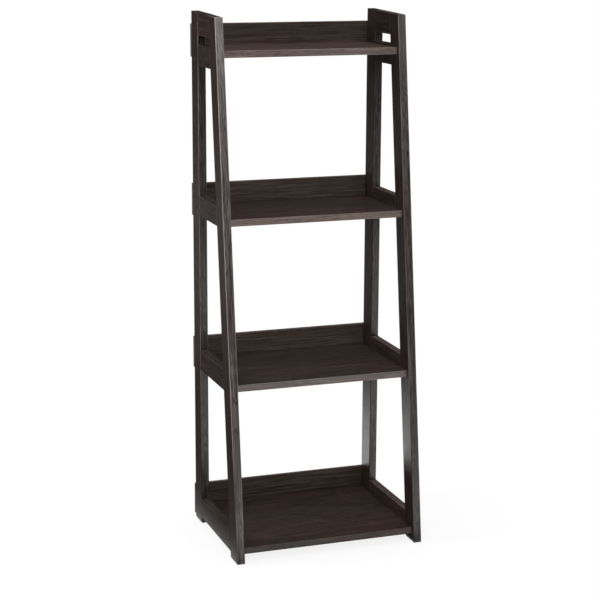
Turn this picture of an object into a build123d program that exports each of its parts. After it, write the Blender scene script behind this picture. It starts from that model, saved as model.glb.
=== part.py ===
from build123d import *
import math
import os

# Ladder shelf in laminated board: two leaning side frames, four shelves, four low back boards.
# Millimetres. X runs across the width, the front faces -Y, +Z is up.
# The origin is on the floor, under the middle of the overall box.

# Overall reach, from the front feet to the rear faces of the back boards
overall_width = 430.0
overall_depth = 332.0
top_depth = 187.0

# Side frames: legs, the rails between them, and the hand slot under the cap rail
frame_thickness = 18.0
rear_leg_width = 50.0
front_leg_width = 48.0
rail_height = 45.0
rail_below_shelf_top = 18.0
top_rail_rise = 5.0
hand_slot_height = 20.0
cap_height = 50.0
top_fall = 5.0
leg_edge_radius = 1.5

# Shelves, from the bottom one up
shelf_names = ["bottom", "lower", "upper", "top"]
shelf_thickness = 15.0
shelf_clear_height = 336.0
bottom_shelf_top = 32.0
shelf_setback = 11.0
board_edge_radius = 0.8

# Back boards
back_thickness = 9.0
back_height = 72.0
back_below_shelf_top = 25.0

# Wooden dowels, which join rails to legs and shelves to rails
dowel_diameter = 8.0
dowel_length = 30.0
dowel_spacing = 15.0
dowel_edge_distance = 9.0
dowel_end_chamfer = 1.0
dowel_clearance = 0.1
hole_end_room = 1.0
blind_wall = 7.0

# Cam bolts and cam locks, which draw the shelves against the legs
cam_diameter = 15.0
cam_cover = 3.5
cam_from_shelf_end = 34.0
cam_edge_distance = 15.0
cam_from_rear_leg_front = 18.0
cam_clearance = 0.1
cam_slot_width = 1.6
cam_slot_span = 9.0
cam_slot_depth = 2.0
cam_head_room = 0.5
bolt_thread_diameter = 5.0
bolt_shank_diameter = 6.0
bolt_neck_diameter = 4.0
bolt_neck_length = 4.0
bolt_head_diameter = 6.6
bolt_head_length = 3.0
bolt_bore_clearance = 0.5

# Countersunk screws through the back boards
screw_diameter = 4.0
screw_length = 30.0
screw_head_diameter = 8.0
screw_tip_length = 6.0
screw_edge_distance = 14.0
screw_sink = 0.2
screw_clearance = 0.1
recess_width = 0.9
recess_span = 4.4
recess_depth = 1.4

# Levels worked out from the sizes above
shelf_pitch = shelf_clear_height + shelf_thickness
shelf_tops = [bottom_shelf_top + level * shelf_pitch for level in range(len(shelf_names))]
top_rail_top = shelf_tops[-1] + top_rail_rise
cap_bottom = top_rail_top + hand_slot_height
overall_height = cap_bottom + cap_height

# Planes from front to back, and the lean of the front legs
back_face = overall_depth / 2
leg_back = back_face - back_thickness
rear_leg_front = leg_back - rear_leg_width
foot_front = -overall_depth / 2
lean = math.atan((overall_depth - top_depth) / overall_height)
front_leg_depth = front_leg_width / math.cos(lean)
across_lean = (0, math.cos(lean), -math.sin(lean))
inner_face = overall_width / 2 - frame_thickness
frame_middle = overall_width / 2 - frame_thickness / 2
sides = {"left": -1, "right": 1}


def leg_front(height):
    """Front edge of a front leg at a height."""
    return foot_front + height * math.tan(lean)


def leg_rear(height):
    """Rear edge of a front leg at a height."""
    return leg_front(height) + front_leg_depth


def frame_top(depth):
    """Height of the side frame's top, which falls evenly towards the front."""
    return overall_height - (leg_back - depth) * top_fall / (top_depth - back_thickness)


def top_corner(foot):
    """Where a line that leans back from a point on the floor meets the sloping top."""
    slope = top_fall / (top_depth - back_thickness)
    height = (overall_height - slope * (leg_back - foot)) / (1 - slope * math.tan(lean))
    return foot + height * math.tan(lean), height


def shelf_front(level):
    """Front edge of a shelf, set back from the front legs' front edge."""
    return leg_front(shelf_tops[level]) + shelf_setback


def shelf_middle(level):
    """Mid height of a shelf, where its dowels and bolts enter."""
    return shelf_tops[level] - shelf_thickness / 2


def rail_span(level):
    """Lowest and highest height of a shelf rail. The top one hangs mostly below its shelf."""
    if level == len(shelf_names) - 1:
        return top_rail_top - rail_height, top_rail_top
    low = shelf_tops[level] - rail_below_shelf_top
    return low, low + rail_height


def rod(centre, axis, radius, length):
    """A round rod centred on a point, along an axis."""
    return Plane(origin=centre, z_dir=axis) * Cylinder(radius, length)


def plug(start, axis, radius, length):
    """A round rod that starts at a point and runs along an axis."""
    ends = (Align.CENTER, Align.CENTER, Align.MIN)
    return Plane(origin=start, z_dir=axis) * Cylinder(radius, length, align=ends)


def turned(outline, start, axis):
    """A turned piece: radius and distance pairs, revolved about an axis from a start point."""
    face = make_face(Polyline(*[(radius, 0, along) for radius, along in outline], close=True))
    return Plane(origin=start, z_dir=axis) * revolve(face, Axis.Z)


def frame_board(outline, side, edge_radius):
    """A board of a side frame: an outline in Y and Z, one frame thickness across, edges eased."""
    low = side * frame_middle - frame_thickness / 2
    face = Plane.YZ.offset(low) * make_face(Polyline(*outline, close=True))
    solid = extrude(face, amount=frame_thickness)
    return fillet(solid.edges(), edge_radius)


# Dowels between rails and legs: each seat is a centre point and an axis

def dowel_heights(level):
    """Heights of the two dowels at each end of a shelf rail, clear of the shelf's own fixings."""
    low, high = rail_span(level)
    if level == len(shelf_names) - 1:
        first = low + dowel_edge_distance
    else:
        first = high - dowel_edge_distance - dowel_spacing
    return [first, first + dowel_spacing]


def cap_dowel_heights():
    """Heights of the two dowels at each end of a cap rail."""
    first = cap_bottom + (cap_height - dowel_spacing) / 2
    return [first, first + dowel_spacing]


def all_dowel_heights():
    """Heights of every dowel along one leg."""
    heights = cap_dowel_heights()
    for level in range(len(shelf_names)):
        heights += dowel_heights(level)
    return heights


def rear_dowel_seats(heights, side):
    """Dowel seats on the joints with the rear leg, square to its upright edge."""
    return [((side * frame_middle, rear_leg_front, height), (0, 1, 0)) for height in heights]


def front_dowel_seats(heights, side):
    """Dowel seats on the joints with the front leg, square to its leaning edge."""
    return [((side * frame_middle, leg_rear(height), height), across_lean) for height in heights]


def rail_dowel_seats(heights, side):
    """Dowel seats at both ends of a rail."""
    return rear_dowel_seats(heights, side) + front_dowel_seats(heights, side)


def dowel(centre, axis):
    """A wooden dowel with chamfered ends."""
    solid = Cylinder(dowel_diameter / 2, dowel_length)
    solid = chamfer(solid.edges().filter_by(GeomType.CIRCLE), dowel_end_chamfer)
    return Plane(origin=centre, z_dir=axis) * solid


def dowel_hole(centre, axis):
    """The hole that takes a dowel, in both boards at once."""
    radius = dowel_diameter / 2 + dowel_clearance
    return rod(centre, axis, radius, dowel_length + 2 * hole_end_room)


# Dowels between shelves and rails: one at each end of a shelf, half way along its rail

def shelf_dowel_seat(level, side):
    """Centre of a shelf dowel, which goes as deep into the rail as its blind wall allows."""
    height = shelf_middle(level)
    depth = (leg_rear(height) + rear_leg_front) / 2
    in_rail = frame_thickness - blind_wall - hole_end_room
    across = side * (inner_face + in_rail - dowel_length / 2)
    return (across, depth, height), (1, 0, 0)


# Cam bolts: each seat is where a bolt leaves the leg's inner face

def bolt_seats(level, side):
    """The front and rear bolt seats at one end of a shelf, with the bolt's axis into the shelf."""
    depths = [shelf_front(level) + cam_edge_distance, rear_leg_front + cam_from_rear_leg_front]
    height = shelf_middle(level)
    return [((side * inner_face, depth, height), (-side, 0, 0)) for depth in depths]


def cam_bolt(seat, axis):
    """A cam bolt: thread in the leg, shank, thin neck and head in the cam lock."""
    thread_end = -(frame_thickness - blind_wall - hole_end_room)
    head_end = cam_from_shelf_end + bolt_head_length / 2
    neck_end = head_end - bolt_head_length
    shank_end = neck_end - bolt_neck_length
    outline = [
        (0, thread_end),
        (bolt_thread_diameter / 2, thread_end),
        (bolt_thread_diameter / 2, 0),
        (bolt_shank_diameter / 2, 0),
        (bolt_shank_diameter / 2, shank_end),
        (bolt_neck_diameter / 2, shank_end),
        (bolt_neck_diameter / 2, neck_end),
        (bolt_head_diameter / 2, neck_end),
        (bolt_head_diameter / 2, head_end),
        (0, head_end),
    ]
    return turned(outline, seat, axis)


def bolt_hole_in_leg(seat, axis):
    """The blind pilot hole for a bolt's thread."""
    radius = bolt_thread_diameter / 2 + cam_clearance
    outward = tuple(-part for part in axis)
    return plug(seat, outward, radius, frame_thickness - blind_wall)


def bolt_bore_in_shelf(seat, axis):
    """The bore from a shelf's end to the cam pocket."""
    radius = bolt_head_diameter / 2 + bolt_bore_clearance
    return plug(seat, axis, radius, cam_from_shelf_end)


def cam_place(seat, axis):
    """Centre of a cam lock, on the underside of the shelf."""
    across = seat[0] + axis[0] * cam_from_shelf_end
    return across, seat[1], seat[2] - shelf_thickness / 2


def cam_pocket(seat, axis):
    """The round pocket for a cam lock, bored up from the shelf's underside."""
    radius = cam_diameter / 2 + cam_clearance
    return plug(cam_place(seat, axis), (0, 0, 1), radius, shelf_thickness - cam_cover + cam_clearance)


def cam_lock(seat, axis):
    """A cam lock: a barrel with a driver cross below and a hollow for the bolt's head."""
    across, depth, height = cam_place(seat, axis)
    solid = plug((across, depth, height), (0, 0, 1), cam_diameter / 2, shelf_thickness - cam_cover)
    reach = cam_from_shelf_end + bolt_head_length / 2 + cam_head_room
    solid -= plug(seat, axis, bolt_head_diameter / 2 + bolt_bore_clearance, reach)
    for size in [(cam_slot_span, cam_slot_width), (cam_slot_width, cam_slot_span)]:
        solid -= Pos(across, depth, height) * Box(*size, 2 * cam_slot_depth)
    return solid


# Back board screws

def screw_seats(level, side):
    """Where the two screws at one end of a back board enter its rear face."""
    low = shelf_tops[level] - back_below_shelf_top
    heights = [low + screw_edge_distance, low + back_height - screw_edge_distance]
    return [(side * frame_middle, back_face - screw_sink, height) for height in heights]


def countersunk_screw(seat):
    """A countersunk screw with a pointed tip and a cross recess in its head."""
    head_depth = (screw_head_diameter - screw_diameter) / 2
    outline = [
        (0, 0),
        (screw_head_diameter / 2, 0),
        (screw_diameter / 2, head_depth),
        (screw_diameter / 2, screw_length - screw_tip_length),
        (0, screw_length),
    ]
    solid = turned(outline, seat, (0, -1, 0))
    for size in [(recess_span, recess_width), (recess_width, recess_span)]:
        solid -= Pos(*seat) * Box(size[0], 2 * recess_depth, size[1])
    return solid


def screw_hole(seat):
    """Countersink, hole through the back board and pilot hole in the leg, as one cutter."""
    mouth = screw_head_diameter / 2 + screw_clearance + screw_sink
    shank = screw_diameter / 2 + screw_clearance
    outline = [
        (0, -screw_sink),
        (mouth, -screw_sink),
        (shank, mouth - shank - screw_sink),
        (shank, screw_length + hole_end_room),
        (0, screw_length + hole_end_room),
    ]
    return turned(outline, seat, (0, -1, 0))


# Pieces of the side frames

def front_leg(side):
    """A front leg: straight board that leans back, cut level at the floor and along the top."""
    outline = [
        (foot_front, 0),
        (foot_front + front_leg_depth, 0),
        top_corner(foot_front + front_leg_depth),
        top_corner(foot_front),
    ]
    solid = frame_board(outline, side, leg_edge_radius)
    for seat in front_dowel_seats(all_dowel_heights(), side):
        solid -= dowel_hole(*seat)
    for level in range(len(shelf_names)):
        solid -= bolt_hole_in_leg(*bolt_seats(level, side)[0])
    return solid


def rear_leg(side):
    """A rear leg: upright board that carries the back boards on its rear edge."""
    outline = [
        (rear_leg_front, 0),
        (leg_back, 0),
        (leg_back, frame_top(leg_back)),
        (rear_leg_front, frame_top(rear_leg_front)),
    ]
    solid = frame_board(outline, side, leg_edge_radius)
    for seat in rear_dowel_seats(all_dowel_heights(), side):
        solid -= dowel_hole(*seat)
    for level in range(len(shelf_names)):
        solid -= bolt_hole_in_leg(*bolt_seats(level, side)[1])
        for seat in screw_seats(level, side):
            solid -= screw_hole(seat)
    return solid


def shelf_rail(level, side):
    """A shelf rail, square at the rear leg and cut to the lean of the front leg."""
    low, high = rail_span(level)
    outline = [
        (leg_rear(low), low),
        (rear_leg_front, low),
        (rear_leg_front, high),
        (leg_rear(high), high),
    ]
    solid = frame_board(outline, side, board_edge_radius)
    for seat in rail_dowel_seats(dowel_heights(level), side):
        solid -= dowel_hole(*seat)
    return solid - dowel_hole(*shelf_dowel_seat(level, side))


def cap_rail(side):
    """The cap rail, which closes the side frame over the hand slot."""
    outline = [
        (leg_rear(cap_bottom), cap_bottom),
        (rear_leg_front, cap_bottom),
        (rear_leg_front, frame_top(rear_leg_front)),
        top_corner(foot_front + front_leg_depth),
    ]
    solid = frame_board(outline, side, board_edge_radius)
    for seat in rail_dowel_seats(cap_dowel_heights(), side):
        solid -= dowel_hole(*seat)
    return solid


# Shelves and back boards

def shelf(level):
    """A shelf between the side frames, from its set-back front edge to the back board."""
    front = shelf_front(level)
    size = (2 * inner_face, leg_back - front, shelf_thickness)
    solid = Pos(0, (front + leg_back) / 2, shelf_middle(level)) * Box(*size)
    solid = fillet(solid.edges(), board_edge_radius)
    for side in sides.values():
        solid -= dowel_hole(*shelf_dowel_seat(level, side))
        for seat in bolt_seats(level, side):
            solid -= bolt_bore_in_shelf(*seat)
            solid -= cam_pocket(*seat)
    return solid


def back_board(level):
    """A back board across both rear legs, which stops things sliding off behind."""
    low = shelf_tops[level] - back_below_shelf_top
    centre = (0, back_face - back_thickness / 2, low + back_height / 2)
    solid = Pos(*centre) * Box(overall_width, back_thickness, back_height)
    solid = fillet(solid.edges(), board_edge_radius)
    for side in sides.values():
        for seat in screw_seats(level, side):
            solid -= screw_hole(seat)
    return solid


# Write one file for each piece, and one for each group of like fasteners
os.makedirs("parts", exist_ok=True)
pieces = {}
for side_name, side in sides.items():
    pieces[f"{side_name}_front_leg"] = front_leg(side)
    pieces[f"{side_name}_rear_leg"] = rear_leg(side)
    for level, shelf_name in enumerate(shelf_names):
        pieces[f"{side_name}_{shelf_name}_rail"] = shelf_rail(level, side)
    pieces[f"{side_name}_cap_rail"] = cap_rail(side)
    dowel_seats = rail_dowel_seats(all_dowel_heights(), side)
    pieces[f"{side_name}_frame_dowels"] = Compound([dowel(*seat) for seat in dowel_seats])

for level, shelf_name in enumerate(shelf_names):
    pieces[f"{shelf_name}_shelf"] = shelf(level)
    pieces[f"{shelf_name}_back_board"] = back_board(level)

board_ends = [(level, side) for level in range(len(shelf_names)) for side in sides.values()]
cam_seats = [seat for end in board_ends for seat in bolt_seats(*end)]
back_seats = [seat for end in board_ends for seat in screw_seats(*end)]
pieces["shelf_dowels"] = Compound([dowel(*shelf_dowel_seat(*end)) for end in board_ends])
pieces["cam_bolts"] = Compound([cam_bolt(*seat) for seat in cam_seats])
pieces["cam_locks"] = Compound([cam_lock(*seat) for seat in cam_seats])
pieces["back_board_screws"] = Compound([countersunk_screw(seat) for seat in back_seats])

for name, piece in pieces.items():
    export_step(piece, f"parts/{name}.step")
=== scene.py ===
import math

import bpy
import numpy as np
from mathutils import Matrix, Vector

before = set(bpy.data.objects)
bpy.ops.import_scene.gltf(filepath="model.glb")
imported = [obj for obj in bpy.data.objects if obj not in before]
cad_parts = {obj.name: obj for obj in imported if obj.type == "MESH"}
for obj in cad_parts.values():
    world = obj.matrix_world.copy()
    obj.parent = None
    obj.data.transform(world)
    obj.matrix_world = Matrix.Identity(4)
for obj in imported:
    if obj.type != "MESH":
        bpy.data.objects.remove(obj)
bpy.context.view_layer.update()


# ---- Rear legs ----
# Two upright boards that stand square on the floor and carry the back boards on their rear edges.
# Particle board under a dark brown wood-grain laminate, with a greyer band on the narrow edges.
# The grain runs up the board.

class Shade:
    """A socket of a material: arithmetic on it adds Math nodes, and node() adds any other node."""

    def __init__(self, tree, socket=None):
        self.tree = tree
        self.socket = socket

    def node(self, kind, settings, sockets, out=0):
        """A node of this kind, its settings made first, then its sockets' values or links."""
        made = self.tree.nodes.new(kind)
        for name, value in settings.items():
            if name == "stops":
                stops = made.color_ramp.elements
                stops.remove(stops[1])
                stops[0].position, stops[0].color = value[0][0], (*value[0][1], 1)
                for place, colour in value[1:]:
                    stops.new(place).color = (*colour, 1)
            else:
                setattr(made, name, value)
        for name, value in sockets.items():
            if isinstance(value, Shade):
                self.tree.links.new(value.socket, made.inputs[name])
            else:
                made.inputs[name].default_value = value
        return Shade(self.tree, made.outputs[out] if made.outputs else None)

    def maths(self, operation, first, second=0.0):
        return self.node("ShaderNodeMath", {"operation": operation}, {0: first, 1: second})

    def __add__(self, other):
        return self.maths("ADD", self, other)

    def __sub__(self, other):
        return self.maths("SUBTRACT", self, other)

    def __rsub__(self, other):
        return self.maths("SUBTRACT", other, self)

    def __mul__(self, other):
        return self.maths("MULTIPLY", self, other)

    __radd__ = __add__
    __rmul__ = __mul__


def new_material(name):
    """An empty node material, with a Shade to start its nodes from."""
    material = bpy.data.materials.new(name)
    material.use_nodes = True
    material.node_tree.nodes.clear()
    return material, Shade(material.node_tree)


def stretched(vector, waves):
    """A vector times the number of waves per metre along each axis."""
    return vector.node("ShaderNodeVectorMath", {"operation": "MULTIPLY"}, {0: vector, 1: waves})


def cloud(vector, waves, detail, out=0):
    """Soft noise from 0 to 1, with a number of waves per metre along each axis."""
    sockets = {"Vector": stretched(vector, waves), "Scale": 1.0, "Detail": detail, "Roughness": 0.6}
    return vector.node("ShaderNodeTexNoise", {}, sockets, out)


def rising(value, low, high):
    """0 below low, 1 above high, a smooth step between."""
    sockets = {"Value": value, "From Min": low, "From Max": high}
    return value.node("ShaderNodeMapRange", {"interpolation_type": "SMOOTHSTEP"}, sockets)


def blended(factor, first, second, blend="MIX"):
    """A colour between two, or the second laid over the first by a blend mode."""
    settings = {"data_type": "RGBA", "blend_type": blend}
    return factor.node("ShaderNodeMix", settings, {0: factor, 6: first, 7: second}, 2)


def part_of(vector, axis):
    """One part of a vector: 0 is X, 1 is Y, 2 is Z."""
    return vector.node("ShaderNodeSeparateXYZ", {}, {"Vector": vector}, axis)


def laminate(name, turn, shift, face_tones, band_tones, band_axis, figure, wear_and_highlight):
    """Wood-grain laminate. The turn brings the board's length to X, the shift takes the board to
    another part of the pattern, and the grain is noise drawn out along X: arched lines as strong
    as the figure, streaks a few millimetres wide, fibres and short dark pores. Faces that look
    along band_axis take the edge band's tones, and the cut ends are matt. Eased edges are painted
    paler, part worn edge and part painted highlight: most of all those that look forward, toward
    the front lamps, and hardly at all near the floor, where they are left dark as painted shade."""
    material, start = new_material(name)
    place = start.node("ShaderNodeTexCoord", {}, {}, 3)
    facing = start.node("ShaderNodeTexCoord", {}, {}, 1)
    board = start.node("ShaderNodeMapping", {}, {
        "Vector": place, "Rotation": turn, "Location": shift})
    normal = start.node("ShaderNodeMapping", {"vector_type": "VECTOR"}, {
        "Vector": facing, "Rotation": turn})

    grain = board
    for waves, reach in (((2.0, 9.0, 9.0), 0.012), ((9.0, 45.0, 45.0), 0.003)):
        sway = cloud(board, waves, 1.0, 1)
        sway = start.node("ShaderNodeVectorMath", {"operation": "SUBTRACT"}, {
            0: sway, 1: (0.5, 0.5, 0.5)})
        sway = stretched(sway, (0.0, reach, reach))
        grain = start.node("ShaderNodeVectorMath", {"operation": "ADD"}, {0: grain, 1: sway})
    arches = cloud(grain, (8.0, 55.0, 55.0), 1.0)
    arches = rising(start.maths("SINE", arches * 64.0), -0.9, 0.2)
    bands = cloud(grain, (4.0, 120.0, 120.0), 2.0)
    streaks = cloud(grain, (7.0, 520.0, 520.0), 3.0)
    fibres = cloud(grain, (18.0, 1500.0, 1500.0), 2.0)
    pores = rising(cloud(grain, (40.0, 1900.0, 1900.0), 1.0), 0.60, 0.70)
    mottle = cloud(board, (1.6, 7.0, 7.0), 2.0)

    mean_arch = 0.62
    tone = streaks * 2.4 + bands * 0.6 + fibres * 0.9 + (arches - mean_arch) * figure - 1.47
    face = start.node("ShaderNodeValToRGB", {"stops": face_tones}, {"Fac": tone})
    band = start.node("ShaderNodeValToRGB", {"stops": band_tones}, {"Fac": tone})
    sides = [start.maths("ABSOLUTE", part_of(normal, axis)) for axis in range(3)]
    square_on = (0.62, 0.80)
    on_band = rising(sides[band_axis], *square_on)
    on_end = rising(sides[0], *square_on)
    colour = blended(on_band, face, band)
    reddish = (1.18, 0.93, 0.86, 1.0)
    pore_brown = (0.30, 0.27, 0.26, 1.0)
    wear_and_highlight_grey = (0.40, 0.36, 0.34, 1.0)
    colour = blended(rising(mottle, 0.35, 0.7) * 0.35, colour, reddish, "MULTIPLY")
    colour = blended(pores * 0.55, colour, pore_brown, "MULTIPLY")
    squarest = start.maths("MAXIMUM", start.maths("MAXIMUM", sides[0], sides[1]), sides[2])
    # Painted highlight on the eased edges, partly worn edge: paler where they face the front lamps,
    # none near the floor.
    eased = rising(1.0 - squarest, 0.01, 0.10)
    forward = rising(-1.0 * part_of(facing, 1), 0.15, 0.5) * 0.75 + 0.25
    above_floor_shade = rising(part_of(place, 2), 0.05, 0.40)
    rubbed_and_highlit = eased * forward * above_floor_shade * rising(streaks + fibres * 0.4, 0.25, 0.75)
    colour = blended(rubbed_and_highlit * wear_and_highlight, colour, wear_and_highlight_grey)

    height = streaks * 0.6 + fibres * 0.25 - pores * 0.2
    bump = start.node("ShaderNodeBump", {}, {
        "Strength": 0.6, "Distance": 0.0006, "Height": height})
    surface = start.node("ShaderNodeBsdfPrincipled", {}, {
        "Base Color": colour,
        "Roughness": 0.20 + streaks * 0.20 + pores * 0.12 + on_end * 0.55,
        "IOR": 1.5,
        "Normal": bump,
    })
    start.node("ShaderNodeOutputMaterial", {}, {"Surface": surface})
    return material


def dress(material, *nodes):
    """Gives the CAD pieces of these names this material."""
    for node in nodes:
        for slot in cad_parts[node].material_slots:
            slot.material = material


sides_of_frame = ("left", "right")
frame_face_tones = [
    (0.0, (0.0133, 0.0089, 0.0079)),
    (0.5, (0.0295, 0.0198, 0.0176)),
    (1.0, (0.0531, 0.0356, 0.0317)),
]
frame_band_tones = [
    (0.0, (0.0112, 0.0090, 0.0083)),
    (0.5, (0.0400, 0.0322, 0.0298)),
    (1.0, (0.1040, 0.0837, 0.0775)),
]
leg_figure = 0.40
quarter = math.pi / 2
# The left rear leg's eased edges carry more painted highlight than the right's.
rear_wear_and_highlight = (0.45, 0.10)
for side, wear_and_highlight in zip(sides_of_frame, rear_wear_and_highlight):
    upright_laminate = laminate(
        f"{side}_upright_laminate", (0.0, quarter, 0.0), (0.0, 0.0, 0.0),
        frame_face_tones, frame_band_tones, 1, leg_figure, wear_and_highlight)
    dress(upright_laminate, f"{side}_rear_leg")


# ---- Front legs ----
# Two straight boards that lean back as they rise, cut level at the floor.
# The same laminate and edge band as the rear legs, with the grain along the lean. The left leg's
# band is painted paler than the right's, as painted light from the front left, and its eased edges
# carry more painted highlight.

def toned(tones, strength):
    """The same tones, all of them deeper or paler by one factor."""
    return [(stop, tuple(part * strength for part in colour)) for stop, colour in tones]


foot_depth, top_depth, rise = 0.332, 0.187, 1.160
lean = math.atan((foot_depth - top_depth) / rise)
front_band_painted_light = (1.8, 1.0)
front_wear_and_highlight = (1.0, 0.35)
for side, strength, wear_and_highlight in zip(sides_of_frame, front_band_painted_light, front_wear_and_highlight):
    leaning_laminate = laminate(
        f"{side}_leaning_laminate", (lean, quarter, 0.0), (0.7, 0.0, 0.0),
        frame_face_tones, toned(frame_band_tones, strength), 1, leg_figure, wear_and_highlight)
    dress(leaning_laminate, f"{side}_front_leg")


# ---- Rails ----
# Short boards between the legs of a side frame: one at each shelf, and a cap over the hand slot.
# The same laminate with the grain along the rail, banded on the upper and lower edges.
# Painted light and shade: the left rails' bands are painted darker, and the right rails' faces
# paler towards the floor and darker at the cap. Their eased edges carry a little painted highlight.

rail_names = ("bottom_rail", "lower_rail", "upper_rail", "top_rail", "cap_rail")
rail_band_tones = [
    (0.0, (0.035, 0.0276, 0.0256)),
    (0.5, (0.088, 0.0690, 0.0640)),
    (1.0, (0.176, 0.1380, 0.1280)),
]
rail_band_light_and_shade = {"left": 0.45, "right": 1.0}
rail_face_light_and_shade = {"left": (1.0, 1.0, 1.0, 1.0, 1.0), "right": (1.45, 1.2, 1.1, 1.0, 0.85)}
rail_figure, rail_wear_and_highlight = 0.30, 0.15
for side in sides_of_frame:
    for rail, strength in zip(rail_names, rail_face_light_and_shade[side]):
        rail_laminate = laminate(
            f"{side}_{rail}_laminate", (0.0, 0.0, -quarter), (0.3, 0.0, 0.0),
            toned(frame_face_tones, strength), toned(rail_band_tones, rail_band_light_and_shade[side]),
            2, rail_figure, rail_wear_and_highlight)
        dress(rail_laminate, f"{side}_{rail}")


# ---- Frame dowels ----
# Turned beech dowels, glued half into a rail and half into a leg, so none of them shows.
# Pale wood with a fine straight grain along the dowel.

def beech(name, turn):
    """Turned beech: pale wood, fine streaks and dark flecks drawn out along the dowel."""
    material, start = new_material(name)
    place = start.node("ShaderNodeTexCoord", {}, {}, 3)
    rod = start.node("ShaderNodeMapping", {}, {"Vector": place, "Rotation": turn})
    streaks = cloud(rod, (20.0, 700.0, 700.0), 3.0)
    flecks = rising(cloud(rod, (260.0, 2600.0, 2600.0), 1.0), 0.62, 0.72)
    tones = [(0.2, (0.42, 0.27, 0.15)), (0.5, (0.58, 0.41, 0.25)), (0.8, (0.70, 0.54, 0.36))]
    colour = start.node("ShaderNodeValToRGB", {"stops": tones}, {"Fac": streaks})
    colour = blended(flecks * 0.6, colour, (0.55, 0.42, 0.33, 1.0), "MULTIPLY")
    bump = start.node("ShaderNodeBump", {}, {
        "Strength": 0.4, "Distance": 0.0002, "Height": streaks - flecks})
    surface = start.node("ShaderNodeBsdfPrincipled", {}, {
        "Base Color": colour, "Roughness": 0.55 + streaks * 0.2, "Normal": bump})
    start.node("ShaderNodeOutputMaterial", {}, {"Surface": surface})
    return material


frame_beech = beech("frame_beech", (0.0, 0.0, -quarter))
dress(frame_beech, *[f"{side}_frame_dowels" for side in sides_of_frame])


# ---- Shelves ----
# Four boards between the side frames, each shallower than the one below it.
# The laminate's warm red-brown print on the broad faces, and a paler edge band along the front.
# Painted light and shade: the top shelf is painted paler and the lower ones darker, the bottom
# shelf's front band darkest; eased edges carry painted highlight.

levels = ("bottom", "lower", "upper", "top")
shelf_face_tones = [
    (0.0, (0.0236, 0.0163, 0.0144)),
    (0.5, (0.0525, 0.0362, 0.0320)),
    (1.0, (0.0945, 0.0652, 0.0576)),
]
shelf_band_tones = [
    (0.0, (0.073, 0.0565, 0.0500)),
    (0.5, (0.146, 0.1130, 0.1000)),
    (1.0, (0.234, 0.1808, 0.1600)),
]
shelf_face_light_and_shade = (0.84, 0.88, 1.04, 1.30)
shelf_band_light_and_shade = (0.57, 0.96, 1.10, 1.14)
shelf_figure, shelf_wear_and_highlight = 0.20, 0.45
for level, face_strength, band_strength in zip(levels, shelf_face_light_and_shade, shelf_band_light_and_shade):
    shelf_laminate = laminate(
        f"{level}_shelf_laminate", (0.0, 0.0, 0.0), (0.0, 0.0, 0.0),
        toned(shelf_face_tones, face_strength), toned(shelf_band_tones, band_strength),
        1, shelf_figure, shelf_wear_and_highlight)
    dress(shelf_laminate, f"{level}_shelf")


# ---- Shelf dowels ----
# Beech dowels that locate each end of a shelf on its rail, hidden in both boards.
# The same turned wood as the frame dowels, lying from side to side.

dress(beech("shelf_beech", (0.0, 0.0, 0.0)), "shelf_dowels")


# ---- Cam bolts and cam locks ----
# Steel bolts that screw into the legs, and zinc barrels under the shelves that draw them in.
# Cast and plated metal, grey, with a faint casting grain.

def metal(name, tones, grain, rough):
    """Bare or blackened metal: blotchy colour, fine grain in the bump and in the roughness."""
    material, start = new_material(name)
    place = start.node("ShaderNodeTexCoord", {}, {}, 3)
    blotches = cloud(place, (240.0, 240.0, 240.0), 3.0)
    grit = cloud(place, (grain, grain, grain), 2.0)
    patchy = blotches * 0.7 + grit * 0.3
    colour = start.node("ShaderNodeValToRGB", {"stops": tones}, {"Fac": patchy})
    bump = start.node("ShaderNodeBump", {}, {
        "Strength": 0.3, "Distance": 0.00006, "Height": grit})
    surface = start.node("ShaderNodeBsdfPrincipled", {}, {
        "Base Color": colour, "Metallic": 1.0, "Roughness": rough + grit * 0.25, "Normal": bump})
    start.node("ShaderNodeOutputMaterial", {}, {"Surface": surface})
    return material


zinc_tones = [(0.3, (0.42, 0.42, 0.41)), (0.7, (0.62, 0.62, 0.60))]
steel_tones = [(0.3, (0.50, 0.50, 0.49)), (0.7, (0.66, 0.66, 0.65))]
dress(metal("cast_zinc", zinc_tones, 2600.0, 0.30), "cam_locks")
dress(metal("plated_steel", steel_tones, 3600.0, 0.20), "cam_bolts")


# ---- Back boards ----
# Four thin boards across the rear legs, screwed on from behind, that stop things sliding off.
# The laminate with the grain from side to side and a slightly paler upper edge.
# Painted light and shade: the lower three boards are painted paler and the top one darker,
# and eased edges carry painted highlight.

back_face_tones = [
    (0.0, (0.0279, 0.0212, 0.0174)),
    (0.5, (0.0665, 0.0505, 0.0415)),
    (1.0, (0.1197, 0.0909, 0.0747)),
]
back_light_and_shade = (1.1, 1.3, 1.2, 0.88)
back_figure, back_wear_and_highlight = 0.10, 0.50
for level, strength in zip(levels, back_light_and_shade):
    back_laminate = laminate(
        f"{level}_back_laminate", (0.0, 0.0, 0.0), (0.4, 0.3, 0.2),
        toned(back_face_tones, strength), rail_band_tones, 2, back_figure, back_wear_and_highlight)
    dress(back_laminate, f"{level}_back_board")


# ---- Back board screws ----
# Countersunk steel screws with a cross recess, driven through the back boards into the rear legs.
# Blackened steel with a dull sheen.

black_tones = [(0.3, (0.030, 0.029, 0.029)), (0.7, (0.075, 0.073, 0.072))]
dress(metal("blackened_steel", black_tones, 3000.0, 0.32), "back_board_screws")


# ---- Floor ----
# A wide pale painted floor under the shelf. It keeps the soft shadow close by and fades to white
# further out. Soft light meets a greyer floor, so that little is thrown back up at the boards.

floor_reach = 60.0
grid_lines = 9
shadow_reach = (0.25, 0.9)
near_white = 0.86
floor_white, floor_grey = 0.95, 0.40


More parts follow.
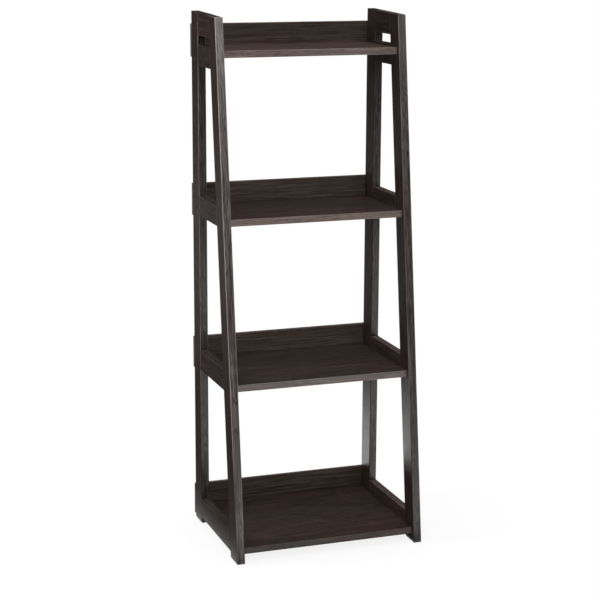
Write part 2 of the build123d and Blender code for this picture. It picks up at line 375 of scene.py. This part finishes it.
def flat_grid(reach, count, height):
    """A flat grid: x and y each run evenly from -reach to +reach, and z is the height."""
    line = np.linspace(-reach, reach, count)
    x, y = np.meshgrid(line, line, indexing="ij")
    points = np.stack([x, y, np.full_like(x, height)], -1).reshape(-1, 3)
    first = (np.arange(count - 1)[:, None] * count + np.arange(count - 1)).ravel()
    faces = np.stack([first, first + count, first + count + 1, first + 1], -1)
    return points, faces


def stage_piece(name, points, faces, material):
    """A mesh of the set, kept out of the model."""
    mesh = bpy.data.meshes.new(name)
    mesh.from_pydata(points.tolist(), [], faces.tolist())
    mesh.materials.append(material)
    piece = bpy.data.objects.new(name, mesh)
    bpy.context.scene.collection.objects.link(piece)
    return piece


def seen_rays(start):
    """1 for rays from the camera, mirror-like reflections and clear glass, 0 for soft light."""
    camera = start.node("ShaderNodeLightPath", {}, {}, 0)
    glossy = start.node("ShaderNodeLightPath", {}, {}, 3)
    clear = start.node("ShaderNodeLightPath", {}, {}, 6)
    return start.maths("MAXIMUM", start.maths("MAXIMUM", camera, glossy), clear)


floor_paint, start = new_material("floor_paint")
place = start.node("ShaderNodeTexCoord", {}, {}, 3)
away = start.node("ShaderNodeVectorMath", {"operation": "LENGTH"}, {0: place}, 1)
seen = seen_rays(start)
whiteness = (rising(away, *shadow_reach) * (1.0 - near_white) + near_white) * seen
floor_colour = seen * (floor_white - floor_grey) + floor_grey
matt = start.node("ShaderNodeBsdfDiffuse", {}, {"Color": floor_colour})
glow = start.node("ShaderNodeEmission", {}, {"Color": (1.0, 1.0, 1.0, 1.0), "Strength": 1.0})
mixed = start.node("ShaderNodeMixShader", {}, {0: whiteness, 1: matt, 2: glow})
start.node("ShaderNodeOutputMaterial", {}, {"Surface": mixed})
stage_piece("floor", *flat_grid(floor_reach, grid_lines, 0.0), floor_paint)


# ---- Studio cards ----
# A glowing white sheet under and in front of the shelf, like paper, with a faintly glowing dark
# tent round and over it, like cloth. The sheet's glow is darkened as a painted shadow where the
# shelf would shade it: between the feet and just before them. Only the boards' sheen shows them:
# painted reflections, so that the satin laminate keeps its depth.

paper_reach, paper_height = 6.6, 0.003
paper_left, paper_right = (-0.26, -0.15), (0.9, 1.5)
paper_back = (0.55, 1.4)
paper_front = (1.6, 5.0)
paper_slant = 0.5
shade_near, shade_far = (0.15, 0.19), (0.23, 0.33)
shade_depth = 0.85
under_wide, under_deep = (0.19, 0.22), (0.15, 0.24)
far_reach = (1.2, 3.0)
paper_level = 1.75
cloth_level = 0.02
tent_level = 0.02
far_level = 0.07
dome_sides = 96
dome_profile = np.array([(6.5, 0.004), (6.5, 2.0), (5.6, 4.2), (3.2, 5.6), (0.0, 6.0)])


def lathe(profile, count):
    """A profile of radius and height pairs carried round Z: point = (r cos a, r sin a, z)."""
    turn = np.linspace(0.0, 2.0 * math.pi, count, endpoint=False)[:, None]
    radius, height = profile[:, 0], profile[:, 1]
    points = np.stack([radius * np.cos(turn), radius * np.sin(turn), height + 0.0 * turn], -1)
    around = np.arange(count)[:, None]
    along = np.arange(len(profile) - 1)
    after = (around + 1) % count
    rings = len(profile)
    faces = np.stack([around * rings + along, around * rings + along + 1,
                      after * rings + along + 1, after * rings + along], -1)
    return points.reshape(-1, 3), faces.reshape(-1, 4)


def sheen_only(piece):
    """Hides a piece from all but mirror-like reflections."""
    piece.visible_camera = False
    piece.visible_diffuse = False
    piece.visible_transmission = False
    piece.visible_shadow = False


paper, start = new_material("paper")
place = start.node("ShaderNodeTexCoord", {}, {}, 3)
across, along = part_of(place, 0), part_of(place, 1)
away = start.node("ShaderNodeVectorMath", {"operation": "LENGTH"}, {0: place}, 1)
sheet = rising(across, *paper_left) * (1.0 - rising(across + along * paper_slant, *paper_right))
sheet = sheet * (1.0 - rising(along, *paper_back)) * (1.0 - rising(-1.0 * along, *paper_front))
# Painted shadow: the sheet's glow is darkened just before the shelf and between its feet.
shaded = rising(-1.0 * along, *shade_near) * (1.0 - rising(-1.0 * along, *shade_far))
under = 1.0 - rising(start.maths("ABSOLUTE", across), *under_wide)
under = under * (1.0 - rising(start.maths("ABSOLUTE", along), *under_deep))
sheet = sheet * (1.0 - start.maths("MAXIMUM", shaded * shade_depth, under))
paper_glow = start.maths("MAXIMUM", sheet, rising(away, *far_reach) * far_level) + cloth_level
lit = start.node("ShaderNodeEmission", {}, {"Color": paper_glow, "Strength": paper_level})
start.node("ShaderNodeOutputMaterial", {}, {"Surface": lit})
sheen_only(stage_piece("paper_sheet", *flat_grid(paper_reach, grid_lines, paper_height), paper))

cloth, start = new_material("cloth")
dark = start.node("ShaderNodeEmission", {}, {"Color": (1.0, 1.0, 1.0, 1.0), "Strength": tent_level})
start.node("ShaderNodeOutputMaterial", {}, {"Surface": dark})
sheen_only(stage_piece("cloth_tent", *lathe(dome_profile, dome_sides), cloth))


# ---- Light ----
# A white surround at a plain level, with soft boxes in front, on both sides, behind and above.
# None of these boxes is mirrored. Two more in front give the front legs alone their satin sheen.

soft_level = 0.25
world = bpy.data.worlds.new("studio")
bpy.context.scene.world = world
world.use_nodes = True
world.node_tree.nodes.clear()
start = Shade(world.node_tree)
white_level = seen_rays(start) * (1.0 - soft_level) + soft_level
surround = start.node("ShaderNodeBackground", {}, {
    "Color": (1.0, 1.0, 1.0, 1.0), "Strength": white_level})
start.node("ShaderNodeOutputWorld", {}, {"Surface": surround})


def soft_box(name, place, aim, size, watts):
    """A rectangular lamp at a place, turned to face an aim point."""
    lamp = bpy.data.lights.new(name, "AREA")
    lamp.shape = "RECTANGLE"
    lamp.size, lamp.size_y = size
    lamp.energy = watts
    box = bpy.data.objects.new(name, lamp)
    bpy.context.scene.collection.objects.link(box)
    box.location = place
    box.rotation_euler = (Vector(aim) - Vector(place)).to_track_quat("-Z", "Y").to_euler()
    box.visible_camera = False
    return box


for name, place, aim, size, watts in (
        ("front_box", (-0.15, -2.1, 1.75), (-0.15, 0.0, 0.9), (1.4, 0.8), 22.5),
        ("left_box", (-1.5, 0.2, 1.15), (0.0, 0.0, 0.75), (0.7, 0.7), 17.5),
        ("right_box", (1.9, 0.3, 1.15), (0.0, 0.0, 0.75), (1.0, 1.0), 9.0),
        ("back_box", (0.2, 2.3, 1.3), (0.0, 0.0, 0.75), (1.2, 1.2), 14.0),
        ("top_box", (0.0, 0.1, 3.4), (0.0, 0.0, 0.6), (2.2, 2.2), 54.0)):
    soft_box(name, place, aim, size, watts).visible_glossy = False
leg_sheen = bpy.data.collections.new("leg_sheen")
for side in sides_of_frame:
    leg_sheen.objects.link(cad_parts[f"{side}_front_leg"])
for name, place, aim, size, watts in (
        ("front_sheen", (-0.15, -2.12, 1.76), (-0.15, 0.0, 0.9), (1.4, 0.8), 22.5),
        ("side_sheen", (1.32, -2.0, 1.75), (0.2, 0.0, 0.9), (0.5, 0.9), 3.5)):
    sheen_box = soft_box(name, place, aim, size, watts)
    sheen_box.visible_diffuse = False
    sheen_box.light_linking.receiver_collection = leg_sheen


# ---- Camera ----
# Left of the front and above the top, looking down at the shelf with a long lens.
# Its turn is built from the way it looks, then rolled a little about that line.

camera_place = Vector((-1.22083, -3.40507, 1.35190))
camera_yaw, camera_pitch, camera_roll = (math.radians(angle) for angle in (19.48, 12.75, 0.26))
image_width = 600.0
focal_pixels = 1677.42
ahead = Vector((math.sin(camera_yaw) * math.cos(camera_pitch),
                math.cos(camera_yaw) * math.cos(camera_pitch), -math.sin(camera_pitch)))
level_right = Vector((math.cos(camera_yaw), -math.sin(camera_yaw), 0.0))
level_up = level_right.cross(ahead)
right = level_right * math.cos(camera_roll) + level_up * math.sin(camera_roll)
up = level_up * math.cos(camera_roll) - level_right * math.sin(camera_roll)
camera_data = bpy.data.cameras.new("camera")
camera_data.sensor_width = 36.0
camera_data.lens = focal_pixels * camera_data.sensor_width / image_width
camera = bpy.data.objects.new("camera", camera_data)
bpy.context.scene.collection.objects.link(camera)
turned = Matrix((right, up, -ahead)).transposed().to_4x4()
camera.matrix_world = Matrix.Translation(camera_place) @ turned
bpy.context.scene.camera = camera

bpy.context.scene.view_settings.view_transform = "Standard"
